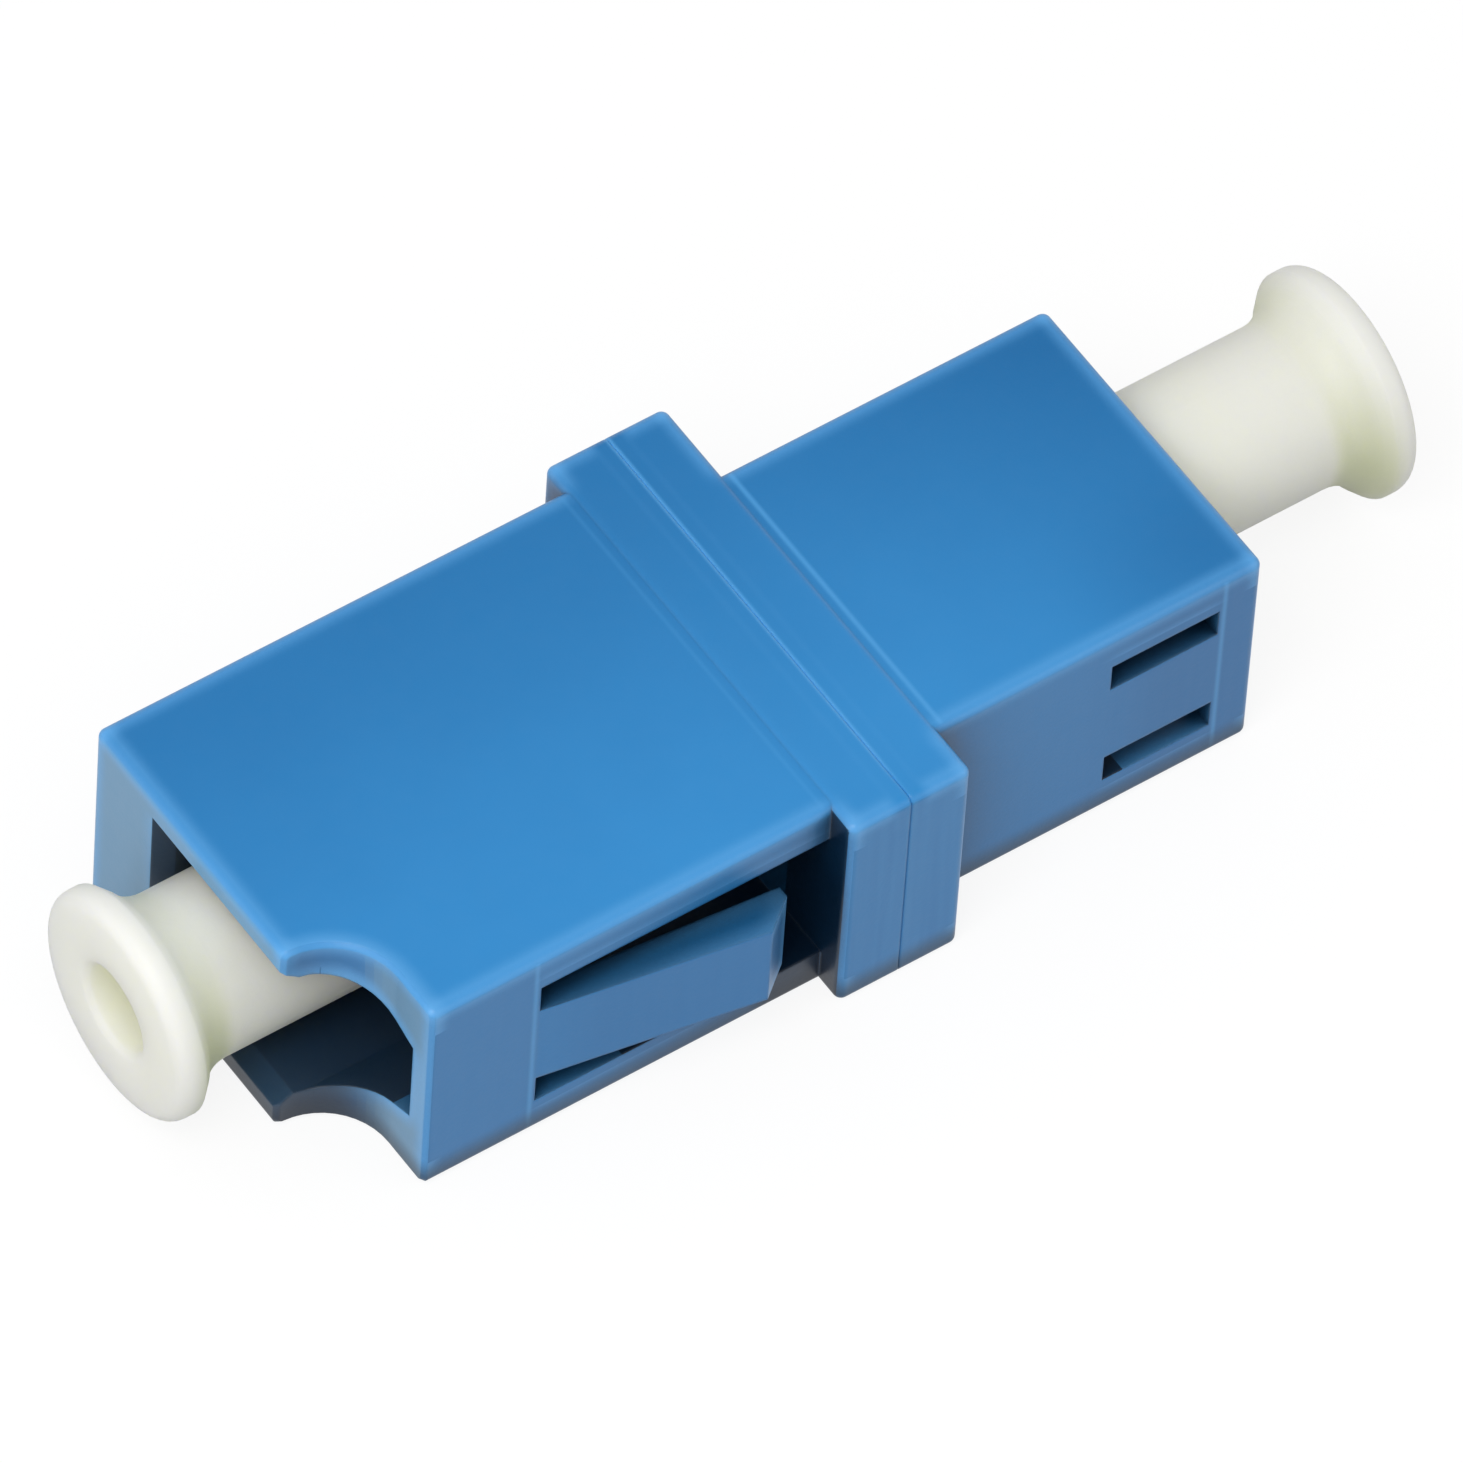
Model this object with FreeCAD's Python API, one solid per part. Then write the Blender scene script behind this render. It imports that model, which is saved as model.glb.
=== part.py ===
"""Simplex LC fibre adapter with two dust caps, in millimetres.

The frame: the optical axis is X, the plane where the two housing halves are welded is x = 0, and
the origin is the centre of the alignment sleeve. The long half and its port point to -X and the
short half to +X. The latch side, with the panel clip, is -Y. Z is the thickness of the body,
which lies on its wide flat side.
"""
import FreeCAD, Part
import math
import os

os.makedirs("parts", exist_ok=True)

Vec = FreeCAD.Vector
LONG, SHORT = -1, 1            # which way each half points along X

# Housing, outside
BODY_HEIGHT = 7.2              # Z, both halves
LONG_BACK = 5.5                # optical axis to the back face of the long half
LONG_FRONT = 6.66              # optical axis to the latch face of the long half
SHORT_BACK = 3.8
SHORT_FRONT = 6.0
EDGE_RADIUS = 0.25             # outer edges of the mouldings

# Flange that stops against the panel
FLANGE_THICKNESS = 3.74        # X, both halves together
EAR_REACH = 0.88               # ears past the long half's back and latch faces
FLANGE_PROUD = 0.05            # flange above and below the flat sides of the body
SEAM_CHAMFER = 0.03            # fine groove that the two weld edges leave

# Ports: the shoulder is at the same distance in both halves, the mouths are not
SHOULDER_REACH = 10.7          # weld plane to the shoulder that holds the plug's latch
LONG_LEAD = 5.5                # shoulder to the mouth of the long half
SHORT_LEAD = 1.3               # shoulder to the mouth of the short half
PORT_WIDTH = 4.9               # square space for the plug body
PORT_LEAD_IN = 0.38            # widening at the mouth, each side
PORT_LEAD_DEPTH = 0.5
WEB_THICKNESS = 1.0            # wall between weld plane and port floor, each half
LATCH_WALL = 0.74              # wall between the latch space and the latch face
LATCH_SPACE_WIDTH = 2.84       # width of the latch space at the latch wall
LATCH_TAPER_SETBACK = 0.75     # plug space to where the latch space starts to narrow
SLOT_SPREAD = 4.75             # over the two slots in the latch wall
SHORT_SLOT_LENGTH = 3.35       # the two slots of the short half

# Finger scoop at the long half's mouth
SCOOP_START = 3.1              # optical axis to the tip of the cut-out
SCOOP_DEPTH = 2.13             # mouth to the bottom of the cut-out
SCOOP_RADIUS = 2.0
SCOOP_CHAMFER = 0.12           # on the rims of the cut-out

# Panel clip: an arm of the long half's latch wall
PANEL_GAP = 1.5                # free end of the arm to the flange
CLIP_RISE = 1.1                # crest above the latch face
CLIP_END_RISE = 0.35           # free end above the latch face
CLIP_RETURN_LENGTH = 0.95      # crest to free end
CLIP_INNER_RISE = 0.75         # how far the arm's inner face leans out at the free end

# Alignment sleeve, split along its length
SLEEVE_LENGTH = 6.8
SLEEVE_BORE = 1.25
SLEEVE_WALL = 0.175
SLEEVE_SLIT = 0.3
SLEEVE_CHAMFER = 0.08

# Barrel that holds the sleeve, half of it moulded on each web
BARREL_WALL = 0.54
BARREL_SIDE_PLAY = 0.08        # sleeve to barrel, radial
BARREL_END_PLAY = 0.08
BARREL_LIP_LENGTH = 0.9        # the lip keeps the sleeve in
BARREL_LIP_PLAY = 0.055        # lip past the sleeve's bore, radial
BARREL_TIP_CHAMFER = 0.25
BARREL_ENTRY = 0.3             # how much the lip's bore widens to the tip, to guide the ferrule

# Dust caps, two alike, made for the deeper port
CAP_STEM_PLAY = 0.1            # stem to port wall
CAP_SEAT_PLAY = 0.1            # inner end to port floor
CAP_SOCKET_PLAY = 0.05         # socket to barrel, radial
CAP_SOCKET_SPARE = 1.9         # socket floor past the barrel's tip
CAP_NECK = 0.9                 # stem between the deeper port's mouth and the flare
CAP_FLARE_LENGTH = 1.1         # trumpet between stem and rim
CAP_RIM_LENGTH = 1.0
CAP_RIM_OVERHANG = 0.9         # rim past the stem, radial
CAP_FACE_RADIUS = 0.4          # rim to outer face
CAP_RIM_CHAMFER = 0.3          # rim to flare
CAP_HOLE_DIAMETER = 2.5        # blind hole in the head
CAP_HOLE_DEPTH = 4.0
CAP_HOLE_DRAFT = 0.1           # the hole is this much narrower, radially, at its floor
CAP_CHAMFER = 0.15             # hole's edge, and inner end of the stem

# What follows from them
HALF_HEIGHT = BODY_HEIGHT / 2
LONG_REACH = SHOULDER_REACH + LONG_LEAD
SHORT_REACH = SHOULDER_REACH + SHORT_LEAD
FLANGE_REACH = FLANGE_THICKNESS / 2
PORT_HALF = PORT_WIDTH / 2
LATCH_HALF = LATCH_SPACE_WIDTH / 2
TAPER_START = PORT_HALF + LATCH_TAPER_SETBACK
CLIP_TIP = FLANGE_REACH + PANEL_GAP
SLEEVE_RADIUS = SLEEVE_BORE / 2 + SLEEVE_WALL
POCKET_RADIUS = SLEEVE_RADIUS + BARREL_SIDE_PLAY
POCKET_REACH = SLEEVE_LENGTH / 2 + BARREL_END_PLAY
BARREL_RADIUS = POCKET_RADIUS + BARREL_WALL
BARREL_REACH = POCKET_REACH + BARREL_LIP_LENGTH

OVERCUT = 1.0                  # how far cutting tools run past the surface they open
X_AXIS = Vec(1, 0, 0)
ORIGIN = Vec(0, 0, 0)


def box(x, y, z):
    """A box between the two values given for each axis."""
    low = Vec(min(x), min(y), min(z))
    return Part.makeBox(max(x) - low.x, max(y) - low.y, max(z) - low.z, low)


def line(start, end):
    return Part.LineSegment(start, end).toShape()


def arc(start, middle, end):
    return Part.Arc(start, middle, end).toShape()


def polygon(points):
    return Part.makePolygon(points + points[:1]).Edges


def extruded(edges, travel):
    """The solid swept by a closed flat outline."""
    return Part.Face(Part.Wire(edges)).extrude(travel)


def upright(edges, height):
    """An outline in the XY plane as a solid of that height, centred on the optical axis."""
    solid = extruded(edges, Vec(0, 0, height))
    solid.translate(Vec(0, 0, -height / 2))
    return solid


def turned(edges):
    """A closed outline in the XZ plane turned about the optical axis."""
    return Part.Face(Part.Wire(edges)).revolve(ORIGIN, X_AXIS, 360)


def turned_polygon(profile):
    return turned(polygon([Vec(x, 0, radius) for x, radius in profile]))


def corner(side, centre_x, centre_y, radius):
    """The quarter arc that rounds an upright corner, by the centre of its radius."""
    across = math.copysign(1, centre_y)
    diagonal = radius * math.sqrt(0.5)
    return arc(
        Vec(side * centre_x, centre_y + across * radius, 0),
        Vec(side * (centre_x + diagonal), centre_y + across * diagonal, 0),
        Vec(side * (centre_x + radius), centre_y, 0))


def rounded_slab(side, start, reach, back, front, half_height):
    """A slab rounded on every outer edge, apart from those in the plane where it starts."""
    radius = EDGE_RADIUS
    near_back, near_front = Vec(side * start, back, 0), Vec(side * start, -front, 0)
    slab = upright([
        line(near_back, Vec(side * (reach - radius), back, 0)),
        corner(side, reach - radius, back - radius, radius),
        line(Vec(side * reach, back - radius, 0), Vec(side * reach, radius - front, 0)),
        corner(side, reach - radius, radius - front, radius),
        line(Vec(side * (reach - radius), -front, 0), near_front),
        line(near_front, near_back)], 2 * half_height)

    def rounds(edge):
        flat = all(abs(abs(v.Z) - half_height) < 1e-6 for v in edge.Vertexes)
        at_start = all(abs(v.X - side * start) < 1e-6 for v in edge.Vertexes)
        return flat and not at_start

    return slab.makeFillet(radius, [edge for edge in slab.Edges if rounds(edge)])


def flange_half(side):
    """Half of the flange, chamfered where it meets the other half."""
    slab = rounded_slab(side, 0, FLANGE_REACH, LONG_BACK + EAR_REACH, LONG_FRONT + EAR_REACH,
                        HALF_HEIGHT + FLANGE_PROUD)
    seam = [edge for edge in slab.Edges if all(abs(v.X) < 1e-6 for v in edge.Vertexes)]
    return slab.makeChamfer(SEAM_CHAMFER, seam)


def port_outline(x, front, widening):
    """The port's section at x: a square for the plug body, narrowing into the latch space."""
    half = PORT_HALF + widening
    latch = LATCH_HALF + widening
    upper = [(half, half), (-TAPER_START, half), (LATCH_WALL - front, latch)]
    lower = [(y, -z) for y, z in reversed(upper)]
    return polygon([Vec(x, y, z) for y, z in upper + lower])


def port_space(side, reach, front):
    """All that is hollow between the port floor and the mouth."""
    across = (-PORT_HALF, PORT_HALF)
    floor = box((side * WEB_THICKNESS, side * (FLANGE_REACH + OVERCUT)), across, across)
    passage = extruded(port_outline(side * FLANGE_REACH, front, 0),
                       Vec(side * (reach - FLANGE_REACH + OVERCUT), 0, 0))
    inner = Part.Wire(port_outline(side * (reach - PORT_LEAD_DEPTH), front, 0))
    mouth = Part.Wire(port_outline(side * reach, front, PORT_LEAD_IN))
    return [floor, passage, Part.makeLoft([inner, mouth], True, True)]


def latch_slots(side, start, front):
    """The two slots through the latch wall whose mouth ends are the latch shoulders."""
    return [box((side * start, side * SHOULDER_REACH), (-front - OVERCUT, -TAPER_START),
                (sign * LATCH_HALF, sign * SLOT_SPREAD / 2)) for sign in (-1, 1)]


def barrel(side):
    """Half of the barrel that holds the sleeve, rising from the web."""
    return turned_polygon([
        (side * WEB_THICKNESS / 2, 0),
        (side * WEB_THICKNESS / 2, BARREL_RADIUS),
        (side * (BARREL_REACH - BARREL_TIP_CHAMFER), BARREL_RADIUS),
        (side * BARREL_REACH, BARREL_RADIUS - BARREL_TIP_CHAMFER),
        (side * BARREL_REACH, 0)])


def barrel_bore(side):
    """The sleeve's pocket, and the lip that keeps it in, with a bore that widens to the tip."""
    lip = SLEEVE_BORE / 2 + BARREL_LIP_PLAY
    return turned_polygon([
        (-side * OVERCUT, 0),
        (-side * OVERCUT, POCKET_RADIUS),
        (side * POCKET_REACH, POCKET_RADIUS),
        (side * POCKET_REACH, lip),
        (side * BARREL_REACH, lip + BARREL_ENTRY),
        (side * (BARREL_REACH + OVERCUT), lip + BARREL_ENTRY),
        (side * (BARREL_REACH + OVERCUT), 0)])


def housing_half(side, reach, back, front, cuts, bodies):
    """One moulding: slab and flange, hollowed by its port, with its half of the barrel."""
    slab = rounded_slab(side, FLANGE_REACH / 2, reach, back, front, HALF_HEIGHT)
    shell = slab.fuse(flange_half(side)).cut(port_space(side, reach, front) + cuts)
    return shell.fuse([barrel(side)] + bodies).cut(barrel_bore(side)).removeSplitter()


def finger_scoop():
    """The cut-out that lets a finger reach the plug's latch at the long half's mouth."""
    bottom = SCOOP_DEPTH - LONG_REACH
    outside = -LONG_REACH - OVERCUT
    below = -LONG_FRONT - OVERCUT
    centre = Vec(bottom - SCOOP_RADIUS, -SCOOP_START - SCOOP_RADIUS, 0)
    diagonal = SCOOP_RADIUS * math.sqrt(0.5)
    tip = Vec(centre.x, -SCOOP_START, 0)
    deepest = Vec(bottom, centre.y, 0)
    return upright([
        line(Vec(outside, -SCOOP_START, 0), tip),
        arc(tip, centre + Vec(diagonal, diagonal, 0), deepest),
        line(deepest, Vec(bottom, below, 0)),
        line(Vec(bottom, below, 0), Vec(outside, below, 0)),
        line(Vec(outside, below, 0), Vec(outside, -SCOOP_START, 0))],
        BODY_HEIGHT + 2 * OVERCUT)


def clip_window():
    """The opening in the latch wall that frees the clip between its root and the flange."""
    return box((-SHOULDER_REACH, -FLANGE_REACH), (-LONG_FRONT - OVERCUT, LATCH_WALL - LONG_FRONT),
               (-SLOT_SPREAD / 2, SLOT_SPREAD / 2))


def panel_clip():
    """The arm: it leans out to a crest and slopes back, so that the panel snaps in behind it."""
    anchored = -SHOULDER_REACH - LATCH_WALL
    inner = LATCH_WALL - LONG_FRONT
    return upright(polygon([
        Vec(anchored, inner, 0),
        Vec(-SHOULDER_REACH, inner, 0),
        Vec(-CLIP_TIP, inner - CLIP_INNER_RISE, 0),
        Vec(-CLIP_TIP, -LONG_FRONT - CLIP_END_RISE, 0),
        Vec(-CLIP_TIP - CLIP_RETURN_LENGTH, -LONG_FRONT - CLIP_RISE, 0),
        Vec(-SHOULDER_REACH, -LONG_FRONT, 0),
        Vec(anchored, -LONG_FRONT, 0)]), LATCH_SPACE_WIDTH)


def long_housing():
    cuts = [finger_scoop(), clip_window()] + latch_slots(LONG, FLANGE_REACH, LONG_FRONT)
    housing = housing_half(LONG, LONG_REACH, LONG_BACK, LONG_FRONT, cuts, [panel_clip()])

    def on_scoop(point):
        return (abs(abs(point.Z) - HALF_HEIGHT) < 1e-6
                and point.X < SCOOP_DEPTH - LONG_REACH + 1e-6
                and point.Y < -SCOOP_START + 1e-6)

    rims = [edge for edge in housing.Edges if all(on_scoop(v) for v in edge.Vertexes)]
    return housing.makeChamfer(SCOOP_CHAMFER, rims)


def short_housing():
    cuts = latch_slots(SHORT, SHOULDER_REACH - SHORT_SLOT_LENGTH, SHORT_FRONT)
    return housing_half(SHORT, SHORT_REACH, SHORT_BACK, SHORT_FRONT, cuts, [])


def alignment_sleeve():
    """The split sleeve that lines up the two ferrules."""
    end = SLEEVE_LENGTH / 2
    bore = SLEEVE_BORE / 2
    mouth = bore + SLEEVE_CHAMFER
    tube = turned_polygon([
        (-end, mouth), (-end, SLEEVE_RADIUS), (end, SLEEVE_RADIUS), (end, mouth),
        (end - SLEEVE_CHAMFER, bore), (SLEEVE_CHAMFER - end, bore)])
    slit = box((-end - OVERCUT, end + OVERCUT), (-SLEEVE_SLIT / 2, SLEEVE_SLIT / 2),
               (0, SLEEVE_RADIUS + OVERCUT))
    return tube.cut(slit)


def dust_cap(side):
    """A turned form: socket over the barrel, stem, flare and rim, and a blind hole in the head."""
    stem = PORT_HALF - CAP_STEM_PLAY
    head = stem + CAP_RIM_OVERHANG
    socket = BARREL_RADIUS + CAP_SOCKET_PLAY
    hole = CAP_HOLE_DIAMETER / 2

    inner_end = WEB_THICKNESS + CAP_SEAT_PLAY
    socket_floor = BARREL_REACH + CAP_SOCKET_SPARE
    flare = max(LONG_REACH, SHORT_REACH) + CAP_NECK
    rim = flare + CAP_FLARE_LENGTH
    face = rim + CAP_RIM_LENGTH
    hole_floor = face - CAP_HOLE_DEPTH

    flare_end = head - CAP_RIM_CHAMFER
    turn = 2 * math.atan2(flare_end - stem, CAP_FLARE_LENGTH)
    flare_radius = CAP_FLARE_LENGTH / math.sin(turn)
    flare_middle = (flare + flare_radius * math.sin(turn / 2),
                    stem + flare_radius * (1 - math.cos(turn / 2)))
    round_x, round_z = face - CAP_FACE_RADIUS, head - CAP_FACE_RADIUS
    diagonal = CAP_FACE_RADIUS * math.sqrt(0.5)

    def at(x, radius):
        return Vec(side * x, 0, radius)

    return turned([
        line(at(inner_end, socket), at(inner_end, stem - CAP_CHAMFER)),
        line(at(inner_end, stem - CAP_CHAMFER), at(inner_end + CAP_CHAMFER, stem)),
        line(at(inner_end + CAP_CHAMFER, stem), at(flare, stem)),
        arc(at(flare, stem), at(*flare_middle), at(rim, flare_end)),
        line(at(rim, flare_end), at(rim + CAP_RIM_CHAMFER, head)),
        line(at(rim + CAP_RIM_CHAMFER, head), at(round_x, head)),
        arc(at(round_x, head), at(round_x + diagonal, round_z + diagonal), at(face, round_z)),
        line(at(face, round_z), at(face, hole + CAP_CHAMFER)),
        line(at(face, hole + CAP_CHAMFER), at(face - CAP_CHAMFER, hole)),
        line(at(face - CAP_CHAMFER, hole), at(hole_floor, hole - CAP_HOLE_DRAFT)),
        line(at(hole_floor, hole - CAP_HOLE_DRAFT), at(hole_floor, 0)),
        line(at(hole_floor, 0), at(socket_floor, 0)),
        line(at(socket_floor, 0), at(socket_floor, socket)),
        line(at(socket_floor, socket), at(inner_end, socket))])


PIECES = {
    "long_housing": long_housing(),
    "short_housing": short_housing(),
    "alignment_sleeve": alignment_sleeve(),
    "long_side_dust_cap": dust_cap(LONG),
    "short_side_dust_cap": dust_cap(SHORT)}

for name, shape in PIECES.items():
    shape.exportStep("parts/" + name + ".step")
    print(name, "solids", len(shape.Solids), "valid", shape.isValid(), "volume", round(shape.Volume, 2))
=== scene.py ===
"""The looks of a simplex LC fibre adapter: a blue moulded housing, off-white dust caps and a white
ceramic sleeve, on a white table under soft studio light. Lengths are in metres.

In the materials, along, across and height are the frame's X, Y and Z. Reach is the distance from
the plane where the two halves are welded, and the latch side is the narrow side that faces -Y.
"""
import math

import bpy
from mathutils import Matrix, Vector


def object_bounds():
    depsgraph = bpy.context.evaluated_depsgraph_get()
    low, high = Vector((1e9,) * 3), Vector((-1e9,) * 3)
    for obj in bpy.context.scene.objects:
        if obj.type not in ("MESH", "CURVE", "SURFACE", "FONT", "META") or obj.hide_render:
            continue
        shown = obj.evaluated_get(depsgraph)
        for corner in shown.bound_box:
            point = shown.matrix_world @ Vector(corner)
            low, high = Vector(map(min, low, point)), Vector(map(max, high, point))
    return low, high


MM = 0.001

# Camera: a long lens, so that parallel edges stay nearly parallel
CAMERA_AZIMUTH = -37.7
CAMERA_ELEVATION = 52.4
CAMERA_ROLL = -4.2
CAMERA_LENS = 600.0
CAMERA_SENSOR = 36.0
FRAME_WIDTH = 37.45 * MM       # what the picture spans at the object
SHIFT_RIGHT = -0.17 * MM       # the picture's centre, from the origin
SHIFT_UP = -1.09 * MM

# Light: a sky of even white, and soft boxes given by place from the part's centre, size and watts
SKY_STRENGTH = 0.57
SKY_MIRRORED = (1.0, 0.15)     # the sky's strength in reflections, at the horizon and overhead
SKY_FALL = (0.35, 0.75)        # between which heights of a direction it goes from one to the other
SOFT_BOXES = {
    "key": ((-0.128, -0.072, 0.216), 0.120, 0.276),
    "end": ((-0.220, 0.000, 0.020), 0.120, 0.114),
    "side": ((0.160, -0.160, 0.120), 0.160, 0.060)}

# Floor: how much of its own white shows, in place of the light that falls on it
FLOOR_SIZE = 2.0
FLOOR_WHITE = 1.04
FLOOR_SHARE_SEEN = 0.84
FLOOR_SHARE_MIRRORED = 0.65
FLOOR_SEEN = (0.9, 0.9, 0.9, 1)
FLOOR_LIT = (0.45, 0.45, 0.44, 1)      # its colour for the light that it throws back

# Housing: colours
BLUE = (0.025, 0.262, 0.635, 1), (0.032, 0.300, 0.708, 1)
# painted shade: the blue where less light falls
PAINTED_SHADE_BLUE = (0.007, 0.165, 0.440, 1)
DRAG_BLUE = (0.045, 0.275, 0.600, 1)
# painted reflection: the end around the long half's mouth, paler as if it mirrored white
# surroundings
END_REFLECTION_BLUE = (0.120, 0.300, 0.500, 1)
# painted highlight along the weld and the flange's step, and the mould line's lighter colour
HIGHLIGHT_LINE_BLUE = (0.095, 0.413, 0.835, 1)
# painted highlight on the outer edges
EDGE_HIGHLIGHT_BLUE = (0.118, 0.430, 0.860, 1)
# painted shade along the foot, near the floor
FOOT_SHADE_DARK = (0.008, 0.030, 0.055, 1)
# painted shade in recesses and on faces that little light reaches
RECESS_SHADE_DARK = (0.001, 0.010, 0.028, 1)

# Housing: places, as values of along, across, height or reach
FLANGE = 2.5 * MM              # reach that takes in the flange
STEP = 2.04 * MM               # reach of the painted highlight at the foot of the flange's step
WITNESS = 10.85 * MM           # reach of the mould line beside the latch shoulders
LATCH_FACE = -6.66 * MM        # across, on the long half
LATCH_WALL = -5.2 * MM         # across, just inside the short half's latch wall
SLOTS = 8 * MM                 # reach, past which light gets into the slots
MOUTHS = 9 * MM                # reach that both mouths lie past
LIP_END = 2.9 * MM             # across, just past the ports' far side
SCOOP = 13.5 * MM              # reach past which only the scoop and the long half's mouth lie
WINDOW_REACH = 15.2 * MM       # within this reach and this height, the latch face's edges are those of its window and slots, which get no painted highlight
WINDOW_HALF = 2.7 * MM         # those of its window and slots, which aren't worn
FLANGE_SIDE = -1.9 * MM        # along, just short of the flange on the long half's side
CLIP_GAP = -5 * MM             # across, past which the flange shows in the gap at the clip's tip
LOWER_PART = -1 * MM           # height, below which little light gets in

# Housing: ramps between places, from where a look starts to where it is whole
TO_BACK = (-7 * MM, 7 * MM)                # across
TO_SHORT_END = (2 * MM, 14 * MM)           # along
CORNER_ALONG = (6 * MM, 11 * MM)           # to the short half's corner, where its mouth and its
CORNER_ACROSS = (-1 * MM, -5 * MM)         # latch face meet
CLIP_LEAN = (LATCH_FACE, -7.0 * MM)        # across, outwards from the latch face
WELD_FADE = (-7.8 * MM, -5.5 * MM)         # across, inwards from the flange's latch face
PAST_WELD = (0.3 * MM, 0.7 * MM)           # reach
ABOVE_FOOT = (-3.5 * MM, -2.9 * MM)        # height
DOWN_TO_FOOT = (-2.5 * MM, -3.4 * MM)      # height
UP_TO_FLANGE = (-4.2 * MM, -3.2 * MM)      # along
LIP_START = (-5.4 * MM, -3.4 * MM)         # across

# Housing: how strong each look is
# painted shade on the blue, where less light falls
SHADE_SHORT_END = 0.65
SHADE_WALLS = (0.9, 0.6)      # up to the flange and on it, and past it on the short half
SHADE_CORNER = 0.45
SHADE_CLIP = 0.25
SHADE_TOTAL = 0.75                  # of the total
STREAKS = (1.0, 0.12)          # on the flange, and past it
MARKS = (-0.3, 0.8)            # the drag marks' range in the streaks
MARKS_RELIEF = 0.8             # against the grain's
EDGE_HIGHLIGHT = 2.0
FOOT_SHADE = 0.75
HIDDEN_SHADE = 0.9
RECESS_FALL = 2.4              # the power to which the openness is raised

# Housing: painted highlights along the weld and the flange's step, and the mould line, as
# half-width and strength
WELD_HIGHLIGHT = (0.14 * MM, 0.8)
STEP_HIGHLIGHT = (0.13 * MM, 0.6)
FAINT_STEP_HIGHLIGHT = (0.11 * MM, 0.15)
WITNESS_LINE = (0.13 * MM, 0.5)

# Housing: how the normal tells faces apart
SQUARE = 0.9                   # faces squarely
END_ON = (-0.80, -1.0)         # a ramp towards facing -X
SLANTED = 0.75                 # anything but flat
SLOPING = 0.5                  # turned halfway
UPRIGHT = 0.3                  # stands upright

# Housing: sizes of its patterns and how far its recesses are felt
CLOUD_SIZE = 4 * MM
GLOSS_SIZE = 0.5 * MM
MARKS_SIZE = 0.35 * MM
MARKS_STRETCH = (1, 1, 0.04)   # drawn out along height
GRAIN_SIZE = 0.12 * MM
GRAIN_DEPTH = 0.004 * MM
EDGE_SOFTNESS = 0.12 * MM
EDGE_HIGHLIGHT_WIDTH = 0.6 * MM
RECESS_REACH = 6 * MM

# Dust caps
CAP_WHITE = (0.92, 0.925, 0.79, 1), (0.95, 0.950, 0.825, 1)
# painted shade: greener on the flare's lower side, yellower in the hole, darker in other recesses
CAP_FLARE_SHADE = (0.70, 0.73, 0.50, 1)
CAP_HOLE_SHADE = (0.92, 0.92, 0.70, 1)
CAP_RECESS_SHADE = (0.45, 0.48, 0.33, 1)
CAP_HOLE_RADIUS = 1.6 * MM                     # between the hole's and the stem's
CAP_FLARE_START = (16.9 * MM, 17.5 * MM)       # reach
CAP_FLARE_END = (18.9 * MM, 18.3 * MM)         # reach
CAP_FLARE_SIDE = (3.0 * MM, -0.5 * MM)         # height: from its bare top to its lower side in painted shade
CAP_FLARE_SHADE_STRENGTH = 0.8
CAP_RECESS_REACH = 2.5 * MM
CAP_CLOUD_SIZE = 2.5 * MM
CAP_GLOSS_SIZE = 0.6 * MM
CAP_GRAIN_SIZE = 0.25 * MM
CAP_GRAIN_DEPTH = 0.006 * MM
CAP_EDGE_SOFTNESS = 0.2 * MM
CAP_LIGHT_DEPTH = 2.0 * MM

# Sleeve
CERAMIC = (0.80, 0.79, 0.75, 1), (0.86, 0.85, 0.82, 1)
CERAMIC_CLOUD_SIZE = 1.5 * MM
CERAMIC_GLOSS_SIZE = 0.4 * MM
RINGS_SIZE = 0.05 * MM
RINGS_STRETCH = (1, 0.05, 0.05)        # drawn out round the axis
RINGS_DEPTH = 0.001 * MM

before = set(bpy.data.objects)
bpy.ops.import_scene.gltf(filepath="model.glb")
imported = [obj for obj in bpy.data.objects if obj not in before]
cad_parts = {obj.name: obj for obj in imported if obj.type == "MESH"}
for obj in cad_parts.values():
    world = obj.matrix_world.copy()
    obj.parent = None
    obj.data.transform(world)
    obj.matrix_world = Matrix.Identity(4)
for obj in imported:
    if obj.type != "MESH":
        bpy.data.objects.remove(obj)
CAD_LOW, CAD_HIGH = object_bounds()
CENTRE = (CAD_LOW + CAD_HIGH) / 2
scene = bpy.context.scene


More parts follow.
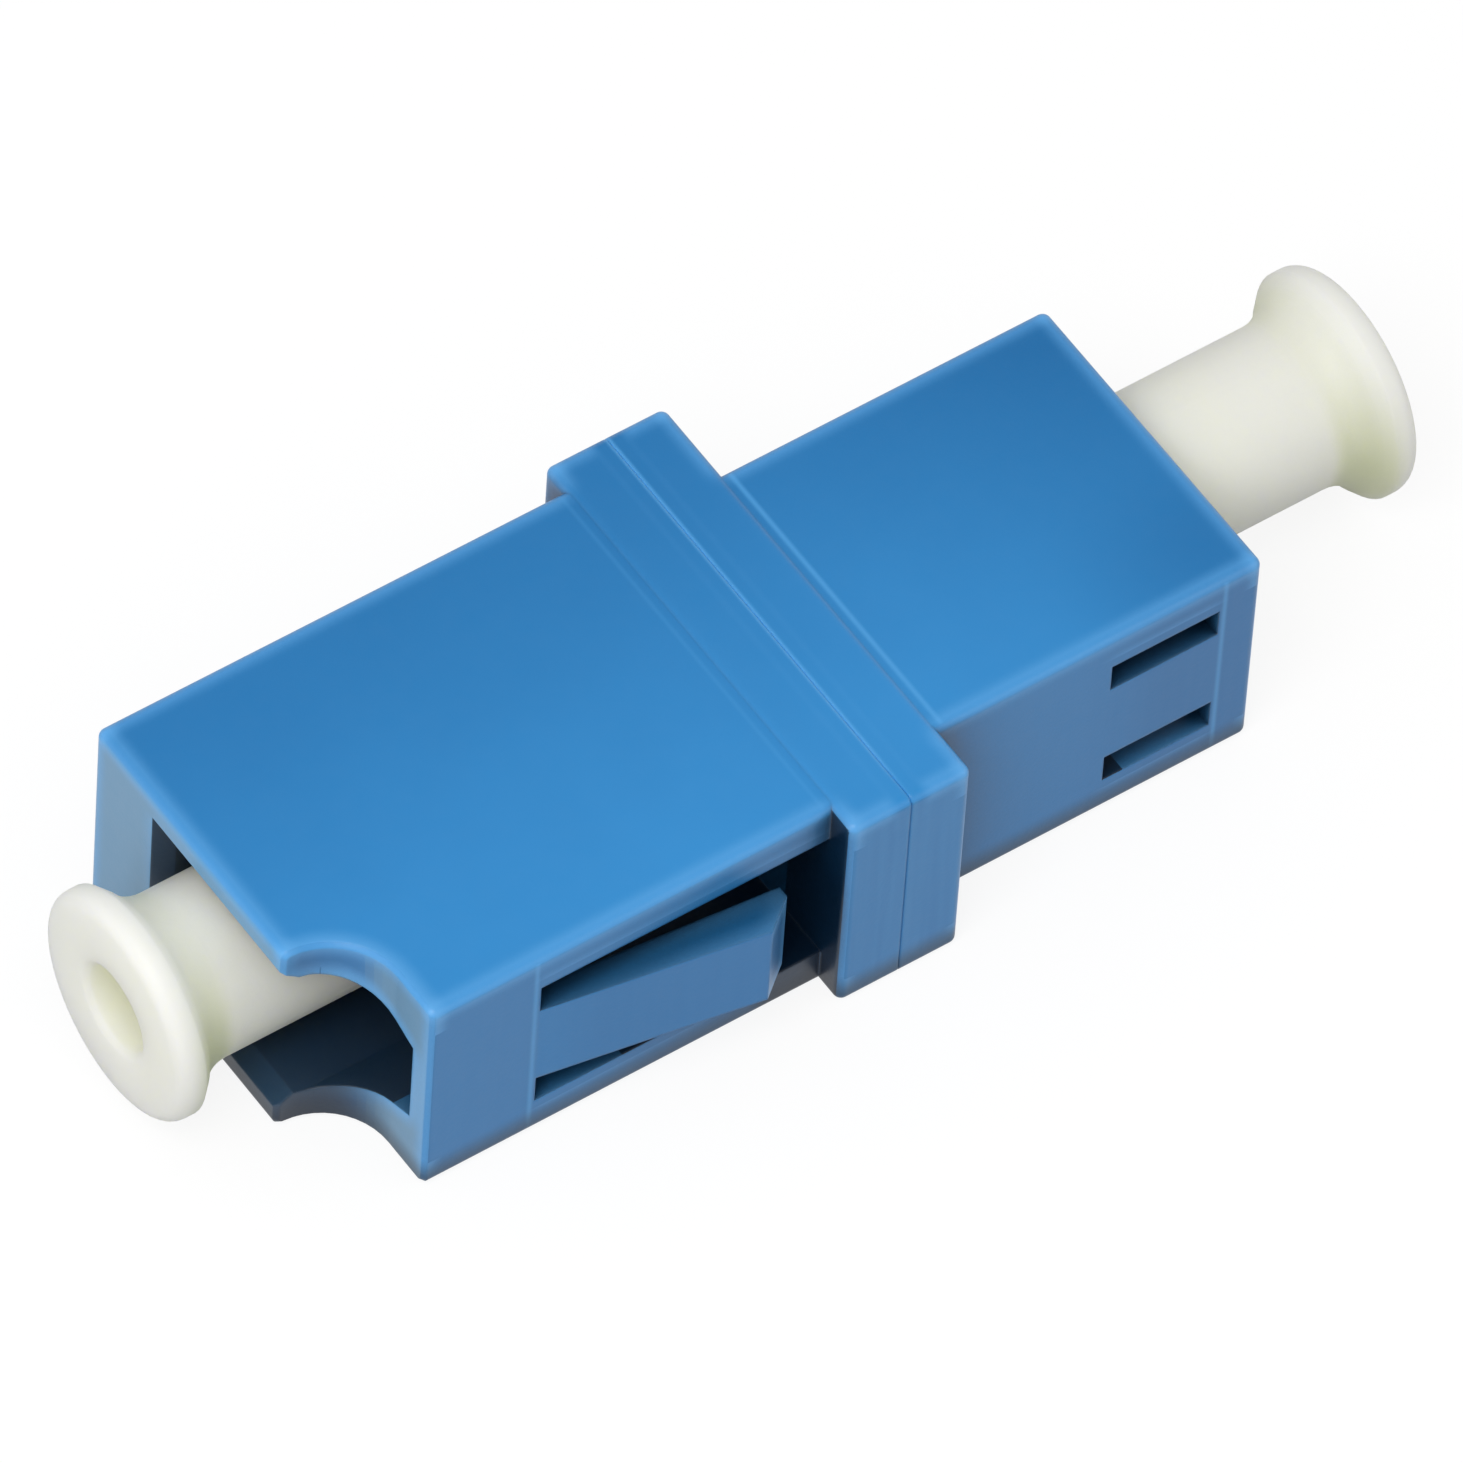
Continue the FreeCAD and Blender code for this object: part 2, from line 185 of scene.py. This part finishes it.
class Nodes:
    """A material's node tree, with short calls to add nodes and join them."""

    def __init__(self, name):
        self.material = bpy.data.materials.new(name)
        self.material.use_nodes = True
        self.tree = self.material.node_tree
        self.tree.nodes.clear()
        self.output = self.add("ShaderNodeOutputMaterial")

    def add(self, kind, inputs=None, **settings):
        node = self.tree.nodes.new(kind)
        for key, value in settings.items():
            setattr(node, key, value)
        for key, value in (inputs or {}).items():
            self.feed(node.inputs[key], value)
        return node

    def feed(self, socket, value):
        if isinstance(value, bpy.types.NodeSocket):
            self.tree.links.new(value, socket)
        else:
            socket.default_value = value

    def surface(self, shader):
        self.tree.links.new(shader.outputs[0], self.output.inputs[0])
        return self.material

    # Numbers

    def math(self, operation, first, second=0.0):
        node = self.add("ShaderNodeMath", {0: first, 1: second}, operation=operation)
        return node.outputs[0]

    def absolute(self, value):
        return self.math("ABSOLUTE", value)

    def above(self, value, limit):
        return self.math("GREATER_THAN", value, limit)

    def below(self, value, limit):
        return self.math("LESS_THAN", value, limit)

    def all_but(self, value):
        return self.math("SUBTRACT", 1.0, value)

    def folded(self, operation, values):
        result = values[0]
        for value in values[1:]:
            result = self.math(operation, result, value)
        return result

    def total(self, *values):
        return self.folded("ADD", values)

    def product(self, *values):
        return self.folded("MULTIPLY", values)

    def largest(self, *values):
        return self.folded("MAXIMUM", values)

    def ranged(self, value, low, high):
        """A value between none and one, moved to that range."""
        return self.add("ShaderNodeMapRange", {
            "Value": value, "To Min": low, "To Max": high}).outputs[0]

    def ramp(self, value, start, end):
        """Nothing up to the start, rising smoothly to one at the end."""
        return self.add("ShaderNodeMapRange", {
            "Value": value, "From Min": start, "From Max": end},
            interpolation_type="SMOOTHSTEP").outputs[0]

    def line(self, value, middle, half_width, strength):
        """Full strength in the middle of a fine line, falling to nothing at its edges."""
        off = self.absolute(self.math("SUBTRACT", value, middle))
        return self.add("ShaderNodeMapRange", {
            "Value": off, "From Max": half_width, "To Min": strength, "To Max": 0.0},
            interpolation_type="SMOOTHSTEP").outputs[0]

    # Vectors, patterns and colours

    def vector(self, operation, first, second=(0, 0, 0)):
        node = self.add("ShaderNodeVectorMath", {0: first, 1: second}, operation=operation)
        return node.outputs["Value" if operation == "LENGTH" else "Vector"]

    def split(self, vector):
        return self.add("ShaderNodeSeparateXYZ", {0: vector}).outputs

    def position(self):
        return self.add("ShaderNodeTexCoord").outputs["Object"]

    def noise(self, size, detail=2.0, stretch=(1, 1, 1)):
        """Noise with features of about that size."""
        scaled = self.add("ShaderNodeMapping", {"Vector": self.position(), "Scale": stretch})
        return self.add("ShaderNodeTexNoise", {
            "Vector": scaled.outputs[0], "Scale": 1 / size, "Detail": detail}).outputs[0]

    def mixed(self, factor, first, second):
        mix = self.add("ShaderNodeMix", data_type="RGBA")
        self.feed(mix.inputs["Factor"], factor)
        self.feed(mix.inputs[6], first)
        self.feed(mix.inputs[7], second)
        return mix.outputs[2]

    def openness(self, distance, samples, inside=False):
        """How little of the piece's own surface lies within that distance, from none to one."""
        return self.add("ShaderNodeAmbientOcclusion", {"Distance": distance},
                        samples=samples, inside=inside, only_local=True).outputs["AO"]

    def softened(self, radius):
        """The normal, rounded off at sharp edges."""
        return self.add("ShaderNodeBevel", {"Radius": radius}, samples=4).outputs[0]

    def bump(self, height, depth, normal=None):
        inputs = {"Height": height, "Strength": 1.0, "Distance": depth}
        if normal is not None:
            inputs["Normal"] = normal
        return self.add("ShaderNodeBump", inputs).outputs[0]


class Place:
    """Where a point of the housing lies and which way its face looks, as node outputs."""

    def __init__(self, n):
        normal = n.add("ShaderNodeNewGeometry").outputs["True Normal"]
        self.along, self.across, self.height = n.split(n.position())
        self.reach = n.absolute(self.along)
        self.facing = n.split(normal)
        self.outward = n.split(n.vector("MULTIPLY", normal, n.vector("SIGN", n.position())))
        self.tilt = n.absolute(self.facing[2])
        self.flat = n.above(self.tilt, SQUARE)
        self.latch_side = n.below(self.facing[1], -SQUARE)


def painted_falloff_shade(n, at):
    """Painted shade: how far the blue goes over to a darker shade towards the back, the short end,
    the upright walls, the short half's corner and the clip, where less light falls.
    """
    to_back = n.ramp(at.across, *TO_BACK)
    to_short_end = n.product(n.ramp(at.along, *TO_SHORT_END), SHADE_SHORT_END)
    walls = n.product(n.below(at.tilt, UPRIGHT),
                      n.ranged(n.above(at.along, FLANGE), *SHADE_WALLS))
    corner = n.product(n.ramp(at.along, *CORNER_ALONG), n.ramp(at.across, *CORNER_ACROSS),
                       SHADE_CORNER)
    clip = n.product(n.ramp(at.across, *CLIP_LEAN), n.above(at.reach, FLANGE), SHADE_CLIP)
    return n.product(n.total(to_back, to_short_end, walls, corner, clip), SHADE_TOTAL)


def mould_and_highlight_lines(n, at):
    """Fine light lines: painted highlights along the weld and at the foot of the flange's step,
    and the mould line beside the latch shoulders.
    """
    weld = n.product(n.line(at.reach, 0.0, *WELD_HIGHLIGHT), n.ramp(at.across, *WELD_FADE))
    step = n.product(at.flat, n.line(at.along, STEP, *STEP_HIGHLIGHT))
    faint_step = n.product(at.flat, n.line(at.along, -STEP, *FAINT_STEP_HIGHLIGHT))
    witness = n.product(at.latch_side, n.line(at.reach, WITNESS, *WITNESS_LINE))
    return n.total(weld, step, faint_step, witness)


def painted_edge_highlights(n, at):
    """Painted highlights on the outer edges, apart from those round the window, at the weld and
    along the foot.
    """
    window = n.product(at.latch_side, n.below(at.reach, WINDOW_REACH),
                       n.below(n.absolute(at.height), WINDOW_HALF))
    edges = n.all_but(n.openness(EDGE_HIGHLIGHT_WIDTH, samples=4, inside=True))
    return n.product(edges, EDGE_HIGHLIGHT, n.all_but(window),
                     n.ramp(at.reach, *PAST_WELD), n.ramp(at.height, *ABOVE_FOOT))


def openness_to_sky(n, at):
    """One on open faces, falling off in recesses, and low on the faces that no light reaches;
    where it is low, the colour gets painted shade.
    """
    beside_slot = n.product(n.below(at.across, LATCH_WALL), n.above(at.reach, SLOTS))
    inner = n.below(n.math("MINIMUM", at.outward[1], at.outward[2]),
                    n.math("SUBTRACT", -SLOPING, beside_slot))
    flange_side = n.product(n.below(at.facing[0], -SQUARE), n.below(at.reach, FLANGE),
                            n.below(at.across, CLIP_GAP))
    by_flange = n.product(at.latch_side, n.ramp(at.along, *UP_TO_FLANGE),
                          n.below(at.along, FLANGE_SIDE), n.below(at.height, LOWER_PART))
    lower_lip = n.product(n.below(at.height, LOWER_PART), n.above(at.reach, MOUTHS),
                          n.ramp(at.across, *LIP_START), n.below(at.across, LIP_END),
                          n.below(at.tilt, SLOPING))
    hidden = n.product(n.largest(inner, flange_side, by_flange, lower_lip), HIDDEN_SHADE)
    open_share = n.math("POWER", n.openness(RECESS_REACH, samples=5), RECESS_FALL)
    return n.product(open_share, n.all_but(hidden))


def housing_plastic():
    """Satin blue moulding: fine grain and faint drag marks, with painted shade where less light
    falls, a painted reflection on the long half's end, painted highlights on outer edges, the weld
    and the flange's step, a lighter mould line, painted shade along the foot and in recesses."""
    n = Nodes("housing_plastic")
    at = Place(n)
    marks = n.noise(MARKS_SIZE, detail=1, stretch=MARKS_STRETCH)
    streaks = n.product(at.latch_side, n.ranged(n.above(at.reach, FLANGE), *STREAKS),
                        n.ranged(marks, *MARKS))
    # painted reflection on the end around the long half's mouth, which faces -X
    mouth = n.product(n.ramp(at.facing[0], *END_ON), n.above(at.reach, SCOOP))
    # painted shade: darker towards the bottom of the upright and slanted faces
    foot = n.product(n.ramp(at.height, *DOWN_TO_FOOT), FOOT_SHADE, n.below(at.tilt, SLANTED))

    colour = n.mixed(n.noise(CLOUD_SIZE), *BLUE)
    # painted shade: darker towards the back, the short end, the upright walls, the corner and the
    # clip
    colour = n.mixed(painted_falloff_shade(n, at), colour, PAINTED_SHADE_BLUE)
    colour = n.mixed(streaks, colour, DRAG_BLUE)
    colour = n.mixed(mouth, colour, END_REFLECTION_BLUE)
    # painted highlights along the weld and the flange's step, and the lighter mould line
    colour = n.mixed(mould_and_highlight_lines(n, at), colour, HIGHLIGHT_LINE_BLUE)
    # painted highlights on the outer edges
    colour = n.mixed(painted_edge_highlights(n, at), colour, EDGE_HIGHLIGHT_BLUE)
    colour = n.mixed(foot, colour, FOOT_SHADE_DARK)
    # painted shade in recesses and on faces that little light reaches
    colour = n.mixed(openness_to_sky(n, at), RECESS_SHADE_DARK, colour)

    relief = n.total(n.noise(GRAIN_SIZE, detail=3), n.product(marks, MARKS_RELIEF))
    return n.surface(n.add("ShaderNodeBsdfPrincipled", {
        "Base Color": colour,
        "Roughness": n.ranged(n.noise(GLOSS_SIZE), 0.28, 0.38),
        "IOR": 1.58,
        "Normal": n.bump(relief, GRAIN_DEPTH, n.softened(EDGE_SOFTNESS))}))


def cap_plastic():
    """Off-white soft plastic that lets some light through, with greener painted shade on the lower
    side of its flare, and yellower painted shade in its hole and other recesses."""
    n = Nodes("cap_plastic")
    along, _, height = n.split(n.position())
    reach = n.absolute(along)
    off_axis = n.vector("LENGTH", n.vector("MULTIPLY", n.position(), (0, 1, 1)))
    in_hole = n.below(off_axis, CAP_HOLE_RADIUS)
    # painted shade on the flare's lower side
    flare = n.product(n.ramp(reach, *CAP_FLARE_START), n.ramp(reach, *CAP_FLARE_END),
                      n.ramp(height, *CAP_FLARE_SIDE), n.all_but(in_hole), CAP_FLARE_SHADE_STRENGTH)

    colour = n.mixed(n.noise(CAP_CLOUD_SIZE), *CAP_WHITE)
    colour = n.mixed(flare, colour, CAP_FLARE_SHADE)
    # painted shade in the hole and other recesses, yellower in the hole
    recess_shade = n.mixed(in_hole, CAP_RECESS_SHADE, CAP_HOLE_SHADE)
    colour = n.mixed(n.openness(CAP_RECESS_REACH, samples=5), recess_shade, colour)
    return n.surface(n.add("ShaderNodeBsdfPrincipled", {
        "Base Color": colour,
        "Roughness": n.ranged(n.noise(CAP_GLOSS_SIZE), 0.42, 0.55),
        "IOR": 1.5,
        "Subsurface Weight": 1.0,
        "Subsurface Radius": (1.0, 1.0, 0.8),
        "Subsurface Scale": CAP_LIGHT_DEPTH,
        "Normal": n.bump(n.noise(CAP_GRAIN_SIZE, detail=3), CAP_GRAIN_DEPTH,
                         n.softened(CAP_EDGE_SOFTNESS))}))


def ceramic():
    """Ground and polished white ceramic, with rings from the grinding."""
    n = Nodes("sleeve_ceramic")
    rings = n.noise(RINGS_SIZE, stretch=RINGS_STRETCH)
    return n.surface(n.add("ShaderNodeBsdfPrincipled", {
        "Base Color": n.mixed(n.noise(CERAMIC_CLOUD_SIZE), *CERAMIC),
        "Roughness": n.ranged(n.noise(CERAMIC_GLOSS_SIZE), 0.12, 0.22),
        "IOR": 2.1,
        "Normal": n.bump(rings, RINGS_DEPTH)}))


def white_floor():
    """White to the camera and in reflections, with the object's shadow still on it."""
    n = Nodes("floor_white")
    path = n.add("ShaderNodeLightPath")
    seen, mirrored = path.outputs["Is Camera Ray"], path.outputs["Is Glossy Ray"]
    matt = n.add("ShaderNodeBsdfDiffuse", {"Color": n.mixed(seen, FLOOR_LIT, FLOOR_SEEN)})
    bright = n.add("ShaderNodeEmission", {"Color": (1, 1, 1, 1), "Strength": FLOOR_WHITE})
    share = n.largest(n.product(seen, FLOOR_SHARE_SEEN), n.product(mirrored, FLOOR_SHARE_MIRRORED))
    return n.surface(n.add("ShaderNodeMixShader", {
        0: share, 1: matt.outputs[0], 2: bright.outputs[0]}))


def dress():
    """Give every slot of every CAD node its material."""
    blue, off_white, white = housing_plastic(), cap_plastic(), ceramic()
    finish = {
        "long_housing": blue, "short_housing": blue, "alignment_sleeve": white,
        "long_side_dust_cap": off_white, "short_side_dust_cap": off_white}
    for name, material in finish.items():
        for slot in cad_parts[name].material_slots:
            slot.material = material


def make_floor():
    bpy.ops.mesh.primitive_plane_add(size=FLOOR_SIZE, location=(0, 0, CAD_LOW.z))
    floor = bpy.context.object
    floor.name = "floor"
    floor.data.materials.append(white_floor())


def make_sky():
    """An even white sky that is dimmer overhead in reflections, and plain white to the camera."""
    world = bpy.data.worlds.new("studio")
    scene.world = world
    world.use_nodes = True
    tree = world.node_tree

    def ranged(value, low, high, start, end):
        node = tree.nodes.new("ShaderNodeMapRange")
        ends = (("From Min", low), ("From Max", high), ("To Min", start), ("To Max", end))
        for name, number in ends:
            if isinstance(number, bpy.types.NodeSocket):
                tree.links.new(number, node.inputs[name])
            else:
                node.inputs[name].default_value = number
        tree.links.new(value, node.inputs["Value"])
        return node.outputs[0]

    path = tree.nodes.new("ShaderNodeLightPath")
    direction = tree.nodes.new("ShaderNodeSeparateXYZ")
    tree.links.new(tree.nodes.new("ShaderNodeTexCoord").outputs["Generated"], direction.inputs[0])
    mirrored = ranged(direction.outputs[2], *SKY_FALL, *SKY_MIRRORED)
    lit = ranged(path.outputs["Is Glossy Ray"], 0.0, 1.0, SKY_STRENGTH, mirrored)
    strength = ranged(path.outputs["Is Camera Ray"], 0.0, 1.0, lit, 1.0)
    background = tree.nodes["Background"]
    background.inputs[0].default_value = (1, 1, 1, 1)
    tree.links.new(strength, background.inputs[1])


def make_soft_box(name, place, size, watts):
    """A square lamp that faces the object."""
    data = bpy.data.lights.new(name, "AREA")
    data.size = size
    data.energy = watts
    lamp = bpy.data.objects.new(name, data)
    lamp.location = CENTRE + Vector(place)
    lamp.rotation_euler = (-Vector(place)).to_track_quat("-Z", "Y").to_euler()
    scene.collection.objects.link(lamp)


def make_camera():
    azimuth, elevation, roll = map(math.radians, (CAMERA_AZIMUTH, CAMERA_ELEVATION, CAMERA_ROLL))
    back = Vector((math.sin(azimuth) * math.cos(elevation),
                   -math.cos(azimuth) * math.cos(elevation),
                   math.sin(elevation)))
    level = Vector((math.cos(azimuth), math.sin(azimuth), 0))
    above = back.cross(level)
    right = math.cos(roll) * level - math.sin(roll) * above
    up = math.sin(roll) * level + math.cos(roll) * above
    data = bpy.data.cameras.new("camera")
    data.lens = CAMERA_LENS
    data.sensor_width = CAMERA_SENSOR
    distance = FRAME_WIDTH * CAMERA_LENS / CAMERA_SENSOR
    data.clip_start, data.clip_end = distance / 10, distance * 10
    camera = bpy.data.objects.new("camera", data)
    place = Matrix((right, up, back)).transposed().to_4x4()
    place.translation = right * SHIFT_RIGHT + up * SHIFT_UP + back * distance
    camera.matrix_world = place
    scene.collection.objects.link(camera)
    scene.camera = camera


scene.view_settings.view_transform = "Standard"
dress()
make_floor()
make_sky()
for box_name, (box_place, box_size, box_watts) in SOFT_BOXES.items():
    make_soft_box(box_name, box_place, box_size, box_watts)
make_camera()
